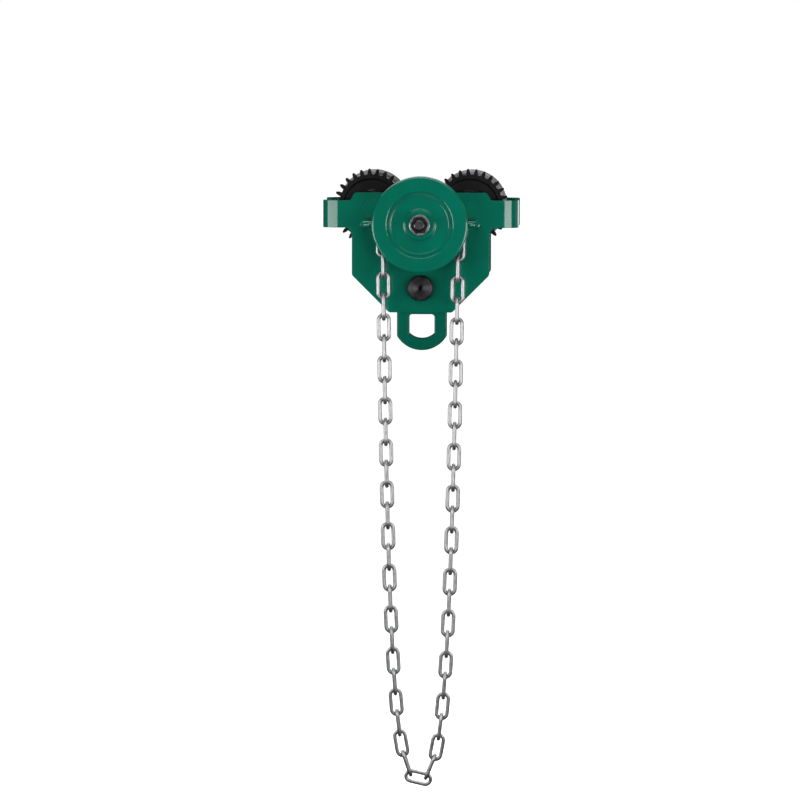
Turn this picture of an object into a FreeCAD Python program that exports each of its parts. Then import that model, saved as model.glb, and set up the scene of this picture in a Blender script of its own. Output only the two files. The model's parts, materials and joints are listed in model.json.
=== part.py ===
"""Geared beam trolley: two side plates on four wheels, driven by a hand chain.

X runs along the beam, Z is up, and the drive stands on the -Y side.  The origin is on
the running surface of the beam's lower flange, midway between the four wheels.
A depth is a distance from the beam's centre plane, so y = side * depth, with side
FRONT (-1, the driven side) or REAR (+1).  All sizes are in millimetres.
"""
import FreeCAD
import Part
import math
import os

os.makedirs("parts", exist_ok=True)

FRONT = -1
REAR = 1
LEFT = -1
RIGHT = 1
ALONG_Y = FreeCAD.Vector(0, 1, 0)

# Track wheels: tread on the flange, gear or plain flange beside the flange's edge
TREAD_RADIUS = 35.0
WHEEL_Z = TREAD_RADIUS
WHEELBASE = 114.0
TREAD_INNER_DEPTH = 22.0
FLANGE_INNER_DEPTH = 46.0
FLANGE_OUTER_DEPTH = 58.0
PLAIN_FLANGE_RADIUS = 41.0

# Gearing
MODULE = 3.0
WHEEL_TEETH = 28
PINION_TEETH = 12
PRESSURE_ANGLE = math.radians(20)
ADDENDUM = 0.7 * MODULE
DEDENDUM = 1.2 * MODULE
WHEEL_TOOTH_SHARE = 0.36
PINION_TOOTH_SHARE = 0.58
PINION_TURN = math.radians(6.7)
PITCH_WHEEL = MODULE * WHEEL_TEETH / 2
PITCH_PINION = MODULE * PINION_TEETH / 2
CENTRE_DISTANCE = PITCH_WHEEL + PITCH_PINION
DRIVE_DROP = math.sqrt(CENTRE_DISTANCE ** 2 - (WHEELBASE / 2) ** 2)
DRIVE_Z = WHEEL_Z - DRIVE_DROP

# Side plates
PLATE_THICKNESS = 6.0
PLATE_INNER_DEPTH = 60.5
PLATE_OUTER_DEPTH = PLATE_INNER_DEPTH + PLATE_THICKNESS
PLATE_TOP = 52.0
PLATE_BOTTOM = -86.0
PLATE_HALF_WIDTH = 79.2
PLATE_CHAMFER_TOP = -43.0
PLATE_BOTTOM_HALF_WIDTH = 36.2
SHOULDER_HALF_WIDTH = 76.0
WING_ROOT_X = 80.8
WING_TOP = 43.0
WING_BOTTOM = 11.5
WING_TIP_X = 113.0
WING_REACH = 25.0
WING_BEND_INSIDE = 12.0
WING_FILLET = 9.0

# Ball bearing of a track wheel (20 x 47 x 14)
BEARING_BORE = 20.0
BEARING_OUTSIDE = 47.0
BEARING_WIDTH = 14.0
BEARING_INNER_DEPTH = 27.0
BEARING_OUTER_DEPTH = BEARING_INNER_DEPTH + BEARING_WIDTH
BEARING_MID_DEPTH = BEARING_INNER_DEPTH + BEARING_WIDTH / 2
BALL_RADIUS = 3.969
BALL_COUNT = 8
BALL_CIRCLE = 16.75
BALL_PLAY = 0.08
INNER_RING_SHOULDER = 14.4
OUTER_RING_SHOULDER = 19.3

# Axle pin
AXLE_COLLAR_RADIUS = 13.0
AXLE_INNER_DEPTH = 23.5
SEAT_SHOULDER_RADIUS = 20.5

# Drive shaft, its housing and bushes
SHAFT_RADIUS = 9.0
SHAFT_PLAY = 0.05
BUSH_RADIUS = 11.0
BUSH_FLANGE_RADIUS = 14.0
BUSH_FLANGE = 1.6
PINION_INNER_DEPTH = 45.5
PINION_OUTER_DEPTH = 58.6
FACE_PLAY = 0.3
HOUSING_SPIGOT_RADIUS = 20.0
HOUSING_FLANGE_RADIUS = 34.0
HOUSING_FLANGE = 6.0
HOUSING_BOSS_RADIUS = 17.0
HOUSING_OUTER_DEPTH = 82.5
HOUSING_SCREW_CIRCLE = 27.0
HOUSING_SCREW_COUNT = 3
HUB_SEAT_RADIUS = 8.0
HUB_SEAT_OUTER_DEPTH = 110.5

# Hand wheel: a cast wheel with a chain groove
GROOVE_DEPTH = 98.0
HAND_WHEEL_RADIUS = 55.0
HAND_WHEEL_HALF_WIDTH = 14.0
HUB_BACK = HOUSING_OUTER_DEPTH + BUSH_FLANGE + FACE_PLAY
HUB_FRONT = 111.5
HUB_RADIUS = 16.0
BOSS_RADIUS = 17.5
DISH_OUTER_RADIUS = 38.3
DISH_INNER_RADIUS = 33.1
DISH_RECESS = 4.0
GROOVE_HALF_WIDTH = 8.8
GROOVE_MOUTH_HALF_WIDTH = 10.8
SLOT_HALF_WIDTH = 3.2
SLOT_FLOOR_RADIUS = 35.8
RIDGE_RADIUS = 40.0
POCKET_FLOOR = 38.0
POCKET_COUNT = 6

# Fastening of the hand wheel
M12_RADIUS = 5.98
M12_PITCH = 1.75
M12_ACROSS_FLATS = 18.0
WHEEL_WASHER = 2.5
SPRING_WASHER = 2.6
M12_NUT_HEIGHT = 10.0
STUD_END = 3.0

# Hand chain: round-wire links of 24 mm pitch
CHAIN_PITCH = 24.0
CHAIN_WIRE_RADIUS = 2.2
CHAIN_WIDTH = 16.5
CHAIN_PLAY = 0.3
LINKS_PER_STRAND = 27
CHAIN_WHEEL_SHIFT = math.radians(2.9)
STRAND_LINKS_ON_FRAME = 24
STRAND_LINKS_ABOVE_MIDDLE = 16
STRAND_LINKS_ABOVE_LOWER = 8

# Chain guides
GUIDE_RADIUS = 4.0
GUIDE_ROOT_X = 64.5
GUIDE_TIP_X = 52.5
GUIDE_BEND = 8.0

# Hanger shaft with its spacers and nut
HANGER_Z = -57.8
HANGER_SHAFT_RADIUS = 12.0
HANGER_HEAD_RADIUS = 14.6
HANGER_HEAD = 8.0
SPACER_RADIUS = 18.0
SPACER_PLAY = 0.1
WASHER_THICKNESS = 3.0
INNER_WASHERS = 5
OUTER_WASHERS = 3
HANGER_NUT_FLATS = 36.0
HANGER_NUT_HEIGHT = 19.0
HANGER_NUT_SLOT = 5.0
HANGER_THREAD_PITCH = 3.0
HANGER_END = 5.0

# Hanger plate with the eye for the hoist's hook
HANGER_HALF_THICKNESS = 8.0
HANGER_HALF_WIDTH = 29.0
HANGER_SIDE_END = -116.1
HANGER_BOTTOM = -132.8
EYE_HALF_WIDTH = 14.6
EYE_TOP = -91.0
EYE_SIDE_END = -112.9
EYE_BOTTOM = -118.9
HANGER_BORE_RADIUS = HANGER_SHAFT_RADIUS + 0.08
HANGER_SIDE_PLAY = 0.4


# ---------------------------------------------------------------- helpers

def corner_arc(before, here, after, radius):
    """Start, middle and end of the arc that rounds the corner at here."""
    to_before = (before - here).normalize()
    to_after = (after - here).normalize()
    half = to_before.getAngle(to_after) / 2
    reach = radius / math.tan(half)
    bisector = (to_before + to_after).normalize()
    centre = here + bisector * (radius / math.sin(half))
    return here + to_before * reach, centre - bisector * radius, here + to_after * reach


def rounded_loop(corners):
    """Closed wire through (point, radius) corners; a radius of 0 keeps the corner sharp."""
    arcs = []
    for index, (here, radius) in enumerate(corners):
        before = corners[index - 1][0]
        after = corners[(index + 1) % len(corners)][0]
        arcs.append(corner_arc(before, here, after, radius) if radius else (here, here, here))
    edges = []
    for index, (start, middle, end) in enumerate(arcs):
        following = arcs[(index + 1) % len(arcs)][0]
        if start.distanceToPoint(end) > 1e-6:
            edges.append(Part.Arc(start, middle, end).toShape())
        if end.distanceToPoint(following) > 1e-6:
            edges.append(Part.LineSegment(end, following).toShape())
    return Part.Wire(edges)


def facing(x, depth, z, side):
    """Point at a depth on one side of the beam."""
    return FreeCAD.Vector(x, side * depth, z)


def turned(profile, x, z, side):
    """Solid of revolution about the Y axis through (x, z) from (radius, depth[, round])."""
    corners = []
    for radius, depth, *rounding in profile:
        corners.append((facing(x + radius, depth, z, side), rounding[0] if rounding else 0))
    face = Part.Face(rounded_loop(corners))
    return face.revolve(FreeCAD.Vector(x, 0, z), ALONG_Y, 360)


def ring(inner, outer, depth_from, depth_to, x, z, side):
    """Plain ring or, with no inner radius, a disc."""
    profile = [(inner, depth_from), (outer, depth_from), (outer, depth_to), (inner, depth_to)]
    return turned(profile, x, z, side)


def bevelled_ring(inner, outer, depth_from, depth_to, bevel, x, z, side):
    """Ring whose two outer edges are bevelled."""
    profile = [
        (inner, depth_from),
        (outer - bevel, depth_from),
        (outer, depth_from + bevel),
        (outer, depth_to - bevel),
        (outer - bevel, depth_to),
        (inner, depth_to),
    ]
    return turned(profile, x, z, side)


def extruded(corners, depth_from, depth_to, side):
    """Prism along Y from an outline of (x, z[, round]) corners."""
    wire = rounded_loop([
        (facing(x, depth_from, z, side), rounding[0] if rounding else 0)
        for x, z, *rounding in corners
    ])
    return Part.Face(wire).extrude(FreeCAD.Vector(0, side * (depth_to - depth_from), 0))


def mirrored_outline(half):
    """Outline that is the same left and right, from its right half, top to bottom."""
    left = [(-x, z, *rounding) for x, z, *rounding in reversed(half)]
    return half + left


def turned_about(shape, angle, x, z):
    """Copy turned about the Y axis through (x, z), from +X towards +Z."""
    copy = shape.copy()
    copy.rotate(FreeCAD.Vector(x, 0, z), ALONG_Y, -math.degrees(angle))
    return copy


def hexagon(across_flats, depth_from, depth_to, x, z, side):
    """Hexagonal prism whose corners are bevelled at the outer end."""
    corner = across_flats / math.sqrt(3)
    corners = []
    for step in range(6):
        angle = step * math.pi / 3
        corners.append((x + corner * math.cos(angle), z + corner * math.sin(angle)))
    prism = extruded(corners, depth_from, depth_to, side)
    bevel = (corner - across_flats / 2) * 0.8
    cone = [
        (0, depth_from),
        (corner + 1, depth_from),
        (corner + 1, depth_to - (bevel + 1) * 0.5),
        (corner - bevel, depth_to),
        (0, depth_to),
    ]
    return prism.common(turned(cone, x, z, side))


def threaded_profile(radius, pitch, depth_from, depth_to):
    """Outline (radius, depth) of a thread's crests and roots, from depth_from outwards."""
    core = radius - 0.6 * pitch
    profile = []
    depth = depth_from
    while depth + pitch <= depth_to - pitch / 2:
        profile.append((core, depth + 0.05 * pitch))
        profile.append((radius, depth + 0.45 * pitch))
        profile.append((radius, depth + 0.60 * pitch))
        depth += pitch
    profile.append((core, depth))
    profile.append((core, depth_to))
    return profile


def circlip(shaft_radius, width, thickness, depth, x, z, side, inside=False):
    """Open spring ring with two pierced ears, outside a shaft or inside a bore."""
    outward = -1 if inside else 1
    outer = shaft_radius + outward * width
    low, high = sorted((shaft_radius, outer))
    body = ring(low, high, depth, depth + thickness, x, z, side)
    gap = extruded(
        [(x - 2, z), (x + 2, z), (x + 3, z + high + 3), (x - 3, z + high + 3)],
        depth - 1, depth + thickness + 1, side)
    body = body.cut(gap)
    ear_radius = 0.75 * width
    ear_z = z + shaft_radius + outward * width * 0.85
    for hand in (LEFT, RIGHT):
        ear_x = x + hand * (3 + ear_radius)
        ear = ring(0, ear_radius, depth, depth + thickness, ear_x, ear_z, side)
        eyelet = ring(0, ear_radius * 0.45, depth - 1, depth + thickness + 1, ear_x, ear_z, side)
        keep = ring(shaft_radius, shaft_radius + 20, depth - 1, depth + thickness + 1, x, z, side)
        if inside:
            keep = ring(0, shaft_radius, depth - 1, depth + thickness + 1, x, z, side)
        body = body.fuse(ear.common(keep)).cut(eyelet)
    return body.removeSplitter()


# ---------------------------------------------------------------- gearing

def involute(base, roll):
    """Point of the involute of a base circle after unrolling by an angle."""
    return (
        base * (math.cos(roll) + roll * math.sin(roll)),
        base * (math.sin(roll) - roll * math.cos(roll)),
    )


def turned_point(point, angle):
    """Point of the gear's plane turned about its centre."""
    x, z = point
    return (
        x * math.cos(angle) - z * math.sin(angle),
        x * math.sin(angle) + z * math.cos(angle),
    )


def tooth_flank(base, root, tip, half_angle):
    """Flank from root to tip; half_angle is the tooth's half width at the base circle."""
    start = max(root, base)
    first_roll = math.sqrt((start / base) ** 2 - 1)
    last_roll = math.sqrt((tip / base) ** 2 - 1)
    points = []
    for step in range(7):
        roll = first_roll + (last_roll - first_roll) * step / 6
        x, z = involute(base, roll)
        points.append(turned_point((x, -z), half_angle))
    return points


def gear_face(teeth, share, centre_x, centre_z, depth, phase):
    """Face of a spur gear with a tooth centred at the phase angle."""
    pitch_radius = MODULE * teeth / 2
    base = pitch_radius * math.cos(PRESSURE_ANGLE)
    tip = pitch_radius + ADDENDUM
    root = pitch_radius - DEDENDUM
    unwind = math.tan(PRESSURE_ANGLE) - PRESSURE_ANGLE
    half_angle = share * math.pi / teeth + unwind
    flank = tooth_flank(base, root, tip, half_angle)

    def place(point, angle):
        x, z = turned_point(point, angle)
        return FreeCAD.Vector(centre_x + x, FRONT * depth, centre_z + z)

    edges = []
    step = 2 * math.pi / teeth
    foot_angle = math.atan2(flank[0][1], flank[0][0])
    foot = (root * math.cos(foot_angle), root * math.sin(foot_angle))
    for tooth in range(teeth):
        angle = phase + tooth * step
        falling = [place((x, -z), angle) for x, z in flank]
        rising = [place(point, angle) for point in flank]
        low_foot = place((foot[0], -foot[1]), angle)
        high_foot = place(foot, angle)
        next_foot = place((foot[0], -foot[1]), angle + step)
        crest = place((tip, 0), angle)
        valley = place((root - 0.25 * MODULE, 0), angle + step / 2)
        low_curve = Part.BSplineCurve()
        low_curve.interpolate(falling)
        high_curve = Part.BSplineCurve()
        high_curve.interpolate(list(reversed(rising)))
        if low_foot.distanceToPoint(falling[0]) > 1e-6:
            edges.append(Part.LineSegment(low_foot, falling[0]).toShape())
        edges.append(low_curve.toShape())
        edges.append(Part.Arc(falling[-1], crest, rising[-1]).toShape())
        edges.append(high_curve.toShape())
        if high_foot.distanceToPoint(rising[0]) > 1e-6:
            edges.append(Part.LineSegment(rising[0], high_foot).toShape())
        edges.append(Part.Arc(high_foot, valley, next_foot).toShape())
    return Part.Face(Part.Wire(edges))


def gear(teeth, share, centre_x, centre_z, depth_from, depth_to, phase):
    """Spur gear as a solid on the driven side, its tooth tips bevelled at both ends."""
    face = gear_face(teeth, share, centre_x, centre_z, depth_from, phase)
    blank = face.extrude(FreeCAD.Vector(0, FRONT * (depth_to - depth_from), 0))
    tip = MODULE * teeth / 2 + ADDENDUM
    bevel = bevelled_ring(0, tip + 0.05, depth_from, depth_to, 0.8, centre_x, centre_z, FRONT)
    return blank.common(bevel)


def wheel_phase(hand):
    """Angle of a tooth of the left or right track wheel in mesh with the pinion."""
    to_wheel = math.atan2(DRIVE_DROP, hand * WHEELBASE / 2)
    pinion_tooth = math.pi / 2 + PINION_TURN
    ahead = pinion_tooth - to_wheel
    gap = to_wheel + math.pi - ahead * PINION_TEETH / WHEEL_TEETH
    return gap + math.pi / WHEEL_TEETH


# ---------------------------------------------------------------- track wheels

def wheel_seat(x, side):
    """Everything that is bored out of a track wheel for its bearing and circlip."""
    seat = ring(0, BEARING_OUTSIDE / 2, TREAD_INNER_DEPTH - 1, BEARING_OUTER_DEPTH,
                x, WHEEL_Z, side)
    through = ring(0, SEAT_SHOULDER_RADIUS, BEARING_OUTER_DEPTH - 1, FLANGE_OUTER_DEPTH + 1,
                   x, WHEEL_Z, side)
    groove = ring(0, BEARING_OUTSIDE / 2 + 1.2, BEARING_INNER_DEPTH - 1.75,
                  BEARING_INNER_DEPTH, x, WHEEL_Z, side)
    return seat.fuse(through).fuse(groove)


def tread(x, side):
    """Crowned running tread with a rounded inner edge and an undercut at the flange."""
    crown = 0.4
    middle = (TREAD_INNER_DEPTH + FLANGE_INNER_DEPTH) / 2
    profile = [
        (0, TREAD_INNER_DEPTH + 2),
        (28, TREAD_INNER_DEPTH + 2, 2),
        (30, TREAD_INNER_DEPTH, 1),
        (TREAD_RADIUS - crown, TREAD_INNER_DEPTH, 2.5),
        (TREAD_RADIUS, middle, 60),
        (TREAD_RADIUS - crown, FLANGE_INNER_DEPTH - 1, 0),
        (TREAD_RADIUS - 1.2, FLANGE_INNER_DEPTH),
        (0, FLANGE_INNER_DEPTH),
    ]
    return turned(profile, x, WHEEL_Z, side)


def geared_wheel(hand):
    """Track wheel whose flange is a spur gear, driven by the pinion."""
    x = hand * WHEELBASE / 2
    rim = gear(WHEEL_TEETH, WHEEL_TOOTH_SHARE, x, WHEEL_Z,
               FLANGE_INNER_DEPTH, FLANGE_OUTER_DEPTH, wheel_phase(hand))
    recess = turned(
        [(0, 56), (26, 56), (32, 56, 2), (33.5, FLANGE_OUTER_DEPTH + 1), (0, FLANGE_OUTER_DEPTH + 1)],
        x, WHEEL_Z, FRONT)
    return tread(x, FRONT).fuse(rim).cut(recess).cut(wheel_seat(x, FRONT)).removeSplitter()


def plain_wheel(hand):
    """Track wheel with a plain round flange."""
    x = hand * WHEELBASE / 2
    flange = turned(
        [
            (0, FLANGE_INNER_DEPTH),
            (38, FLANGE_INNER_DEPTH),
            (PLAIN_FLANGE_RADIUS, FLANGE_INNER_DEPTH + 1.5, 1.2),
            (PLAIN_FLANGE_RADIUS, FLANGE_OUTER_DEPTH - 2, 1.8),
            (34, FLANGE_OUTER_DEPTH - 2, 1),
            (33, FLANGE_OUTER_DEPTH - 4, 1),
            (0, FLANGE_OUTER_DEPTH - 4),
        ],
        x, WHEEL_Z, REAR)
    return tread(x, REAR).fuse(flange).cut(wheel_seat(x, REAR)).removeSplitter()


def axle_pin(hand, side):
    """Pin of a track wheel: spigot flush with the plate, collar, journal, circlip groove."""
    x = hand * WHEELBASE / 2
    journal = BEARING_BORE / 2
    profile = [
        (0, AXLE_INNER_DEPTH),
        (journal - 1, AXLE_INNER_DEPTH),
        (journal, AXLE_INNER_DEPTH + 1),
        (journal, BEARING_INNER_DEPTH - 1.3),
        (journal - 0.8, BEARING_INNER_DEPTH - 1.3),
        (journal - 0.8, BEARING_INNER_DEPTH),
        (journal, BEARING_INNER_DEPTH),
        (journal, BEARING_OUTER_DEPTH),
        (AXLE_COLLAR_RADIUS, BEARING_OUTER_DEPTH),
        (AXLE_COLLAR_RADIUS, PLATE_INNER_DEPTH),
        (journal, PLATE_INNER_DEPTH),
        (journal, PLATE_OUTER_DEPTH),
        (0, PLATE_OUTER_DEPTH),
    ]
    return turned(profile, x, WHEEL_Z, side)


# ---------------------------------------------------------------- ball bearings

def raceway(x, side):
    """Torus that the balls run in."""
    centre = facing(x, BEARING_MID_DEPTH, WHEEL_Z, side)
    return Part.makeTorus(BALL_CIRCLE, BALL_RADIUS + BALL_PLAY, centre, ALONG_Y)


def bearing_inner(hand, side):
    """Inner ring, seated on the axle pin."""
    x = hand * WHEELBASE / 2
    body = bevelled_ring(BEARING_BORE / 2, INNER_RING_SHOULDER, BEARING_INNER_DEPTH,
                         BEARING_OUTER_DEPTH, 0.4, x, WHEEL_Z, side)
    return body.cut(raceway(x, side))


def bearing_outer(hand, side):
    """Outer ring, pressed into the wheel."""
    x = hand * WHEELBASE / 2
    body = bevelled_ring(OUTER_RING_SHOULDER, BEARING_OUTSIDE / 2, BEARING_INNER_DEPTH,
                         BEARING_OUTER_DEPTH, 0.6, x, WHEEL_Z, side)
    return body.cut(raceway(x, side))


def ball_places(x, side):
    """Centres of the balls of one bearing."""
    places = []
    for index in range(BALL_COUNT):
        angle = 2 * math.pi * index / BALL_COUNT
        places.append(facing(x + BALL_CIRCLE * math.cos(angle), BEARING_MID_DEPTH,
                             WHEEL_Z + BALL_CIRCLE * math.sin(angle), side))
    return places


def bearing_balls(hand, side):
    """The balls of one bearing."""
    x = hand * WHEELBASE / 2
    balls = [Part.makeSphere(BALL_RADIUS, place) for place in ball_places(x, side)]
    return Part.makeCompound(balls)


def bearing_cage(hand, side):
    """Ring with one pocket for each ball."""
    x = hand * WHEELBASE / 2
    body = ring(BALL_CIRCLE - 0.9, BALL_CIRCLE + 0.9, BEARING_MID_DEPTH - 4.9,
                BEARING_MID_DEPTH + 4.9, x, WHEEL_Z, side)
    centre = facing(x, BEARING_MID_DEPTH, WHEEL_Z, side)
    for place in ball_places(x, side):
        pocket = Part.makeCylinder(BALL_RADIUS + BALL_PLAY, 2 * BALL_CIRCLE, centre, place - centre)
        body = body.cut(pocket)
    return body


def bearing_shields(hand, side):
    """Two dished shields that close the bearing, held by the outer ring."""
    x = hand * WHEELBASE / 2
    shields = []
    for depth in (BEARING_INNER_DEPTH + 0.6, BEARING_OUTER_DEPTH - 1.1):
        shields.append(ring(INNER_RING_SHOULDER + 0.35, OUTER_RING_SHOULDER, depth, depth + 0.5,
                            x, WHEEL_Z, side))
    return Part.makeCompound(shields)


def axle_circlips():
    """The circlips that hold the bearings on the four axle pins."""
    clips = []
    for side in (FRONT, REAR):
        for hand in (LEFT, RIGHT):
            clips.append(circlip(BEARING_BORE / 2 - 0.8, 3.2, 1.2, BEARING_INNER_DEPTH - 1.25,
                                 hand * WHEELBASE / 2, WHEEL_Z, side))
    return Part.makeCompound(clips)


def wheel_circlip(hand, side):
    """Circlip that holds the bearing's outer ring in a wheel."""
    return circlip(BEARING_OUTSIDE / 2 + 1.1, 4.2, 1.65, BEARING_INNER_DEPTH - 1.7,
                   hand * WHEELBASE / 2, WHEEL_Z, side, inside=True)


# ---------------------------------------------------------------- side plates

def plate_outline():
    """Right half of the flat plate, from the top edge to the bottom edge."""
    bend_start = WING_TIP_X - PLATE_THICKNESS - WING_BEND_INSIDE
    return [
        (SHOULDER_HALF_WIDTH, PLATE_TOP, 5),
        (WING_ROOT_X, WING_TOP, 4),
        (bend_start, WING_TOP),
        (bend_start, WING_BOTTOM),
        (PLATE_HALF_WIDTH, WING_BOTTOM, WING_FILLET),
        (PLATE_HALF_WIDTH, PLATE_CHAMFER_TOP, 6),
        (PLATE_BOTTOM_HALF_WIDTH, PLATE_BOTTOM, 4),
    ]


def wing_tip(hand, side):
    """Bend at the end of a wing and the lug that reaches in above the beam's flange."""
    inside = WING_BEND_INSIDE
    outside = inside + PLATE_THICKNESS
    bend_x = WING_TIP_X - outside
    bend_depth = PLATE_INNER_DEPTH - inside
    lug_end = PLATE_OUTER_DEPTH - WING_REACH
    diagonal = math.sqrt(0.5)

    def at(across, depth):
        return facing(hand * (bend_x + across), depth, WING_BOTTOM, side)

    edges = [
        Part.LineSegment(at(0, PLATE_INNER_DEPTH), at(0, PLATE_OUTER_DEPTH)).toShape(),
        Part.Arc(at(0, PLATE_OUTER_DEPTH),
                 at(outside * diagonal, bend_depth + outside * diagonal),
                 at(outside, bend_depth)).toShape(),
        Part.LineSegment(at(outside, bend_depth), at(outside, lug_end)).toShape(),
        Part.LineSegment(at(outside, lug_end), at(inside, lug_end)).toShape(),
        Part.LineSegment(at(inside, lug_end), at(inside, bend_depth)).toShape(),
        Part.Arc(at(inside, bend_depth),
                 at(inside * diagonal, bend_depth + inside * diagonal),
                 at(0, PLATE_INNER_DEPTH)).toShape(),
    ]
    face = Part.Face(Part.Wire(edges))
    return face.extrude(FreeCAD.Vector(0, 0, WING_TOP - WING_BOTTOM))


def side_plate(side):
    """Pressed side plate with wings bent in towards the beam, and its holes."""
    plate = extruded(mirrored_outline(plate_outline()), PLATE_INNER_DEPTH, PLATE_OUTER_DEPTH, side)
    for hand in (LEFT, RIGHT):
        plate = plate.fuse(wing_tip(hand, side))
    plate = plate.removeSplitter()

    def hole(radius, x, z):
        return ring(0, radius, PLATE_INNER_DEPTH - 1, PLATE_OUTER_DEPTH + 1, x, z, side)

    plate = plate.cut(hole(HANGER_SHAFT_RADIUS + 0.05, 0, HANGER_Z))
    for hand in (LEFT, RIGHT):
        plate = plate.cut(hole(BEARING_BORE / 2, hand * WHEELBASE / 2, WHEEL_Z))
    if side == FRONT:
        plate = plate.cut(hole(HOUSING_SPIGOT_RADIUS, 0, DRIVE_Z))
        for x, z in housing_screw_places():
            plate = plate.cut(hole(3.0, x, z))
    return plate


# ---------------------------------------------------------------- drive shaft

def housing_screw_places():
    """Centres (x, z) of the screws that hold the shaft housing."""
    places = []
    for index in range(HOUSING_SCREW_COUNT):
        angle = math.pi / 2 + 2 * math.pi * index / HOUSING_SCREW_COUNT
        places.append((HOUSING_SCREW_CIRCLE * math.cos(angle),
                       DRIVE_Z + HOUSING_SCREW_CIRCLE * math.sin(angle)))
    return places


def shaft_housing():
    """Flanged housing that carries the two bushes of the drive shaft."""
    flange_depth = PLATE_OUTER_DEPTH + HOUSING_FLANGE
    body = turned(
        [
            (BUSH_RADIUS, PLATE_INNER_DEPTH),
            (HOUSING_SPIGOT_RADIUS, PLATE_INNER_DEPTH),
            (HOUSING_SPIGOT_RADIUS, PLATE_OUTER_DEPTH),
            (HOUSING_FLANGE_RADIUS, PLATE_OUTER_DEPTH),
            (HOUSING_FLANGE_RADIUS, flange_depth, 1.5),
            (HOUSING_BOSS_RADIUS, flange_depth, 2),
            (HOUSING_BOSS_RADIUS, HOUSING_OUTER_DEPTH, 1),
            (BUSH_RADIUS, HOUSING_OUTER_DEPTH),
        ],
        0, DRIVE_Z, FRONT)
    for x, z in housing_screw_places():
        body = body.cut(ring(0, 3.2, PLATE_OUTER_DEPTH - 1, flange_depth + 1, x, z, FRONT))
    return body


def housing_screws():
    """Hexagon screws through the housing's flange into the plate."""
    screws = []
    head_depth = PLATE_OUTER_DEPTH + HOUSING_FLANGE
    for x, z in housing_screw_places():
        head = hexagon(10, head_depth, head_depth + 4, x, z, FRONT)
        shank = ring(0, 3.0, PLATE_INNER_DEPTH, head_depth + 1, x, z, FRONT)
        screws.append(head.fuse(shank).removeSplitter())
    return Part.makeCompound(screws)


def bush(flange_depth, toward):
    """Flanged bearing bush; toward is +1 when the sleeve runs outwards from the flange."""
    sleeve_end = flange_depth + toward * (BUSH_FLANGE + 9.5)
    seat = flange_depth + toward * BUSH_FLANGE
    bore = SHAFT_RADIUS + SHAFT_PLAY
    profile = [
        (bore, flange_depth),
        (BUSH_FLANGE_RADIUS, flange_depth),
        (BUSH_FLANGE_RADIUS, seat),
        (BUSH_RADIUS, seat),
        (BUSH_RADIUS, sleeve_end),
        (bore, sleeve_end),
    ]
    return turned(profile, 0, DRIVE_Z, FRONT)


def key_box(inner, outer, depth_from, depth_to):
    """Box of the key or of its slot, above the shaft's axis."""
    half = 2.5
    corners = [
        (-half, DRIVE_Z + inner),
        (half, DRIVE_Z + inner),
        (half, DRIVE_Z + outer),
        (-half, DRIVE_Z + outer),
    ]
    box = extruded(corners, depth_from, depth_to, FRONT)
    return turned_about(box, PINION_TURN, 0, DRIVE_Z)


def pinion_shaft():
    """Drive shaft with its pinion, journal, keyed seat and threaded end."""
    pinion = gear(PINION_TEETH, PINION_TOOTH_SHARE, 0, DRIVE_Z,
                  PINION_INNER_DEPTH, PINION_OUTER_DEPTH, math.pi / 2 + PINION_TURN)
    stud_end = stud_end_depth()
    profile = [
        (0, PINION_OUTER_DEPTH - 3),
        (SHAFT_RADIUS, PINION_OUTER_DEPTH - 3),
        (SHAFT_RADIUS, HUB_BACK),
        (HUB_SEAT_RADIUS, HUB_BACK),
        (HUB_SEAT_RADIUS, HUB_SEAT_OUTER_DEPTH - 1),
        (HUB_SEAT_RADIUS - 1, HUB_SEAT_OUTER_DEPTH),
    ]
    profile += threaded_profile(M12_RADIUS, M12_PITCH, HUB_SEAT_OUTER_DEPTH, stud_end)
    profile.append((0, stud_end))
    shaft = turned(profile, 0, DRIVE_Z, FRONT)
    slot = key_box(HUB_SEAT_RADIUS - 3, HUB_SEAT_RADIUS + 2, HUB_BACK + 2, HUB_SEAT_OUTER_DEPTH - 3)
    return pinion.fuse(shaft).cut(slot).removeSplitter()


def shaft_key():
    """Parallel key between the shaft and the hand wheel."""
    return key_box(HUB_SEAT_RADIUS - 3, HUB_SEAT_RADIUS + 2, HUB_BACK + 2, HUB_SEAT_OUTER_DEPTH - 3)


def washer_depths():
    """Depths where the plain washer, spring washer and nut of the hand wheel begin."""
    washer = HUB_FRONT
    spring = washer + WHEEL_WASHER
    nut = spring + SPRING_WASHER
    return washer, spring, nut


def stud_end_depth():
    """Depth of the drive shaft's threaded end."""
    return washer_depths()[2] + M12_NUT_HEIGHT + STUD_END


def wheel_washer():
    """Plain washer under the hand wheel's nut."""
    depth = washer_depths()[0]
    return bevelled_ring(M12_RADIUS + 0.5, 12, depth, depth + WHEEL_WASHER, 0.5,
                         0, DRIVE_Z, FRONT)


def spring_washer():
    """Split spring washer."""
    depth = washer_depths()[1]
    body = ring(M12_RADIUS + 0.2, 10.4, depth, depth + SPRING_WASHER, 0, DRIVE_Z, FRONT)
    split = extruded(
        [
            (5, DRIVE_Z - 1.6),
            (12, DRIVE_Z - 0.4),
            (12, DRIVE_Z + 0.8),
            (5, DRIVE_Z - 0.4),
        ],
        depth - 1, depth + SPRING_WASHER + 1, FRONT)
    return body.cut(split)


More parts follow.
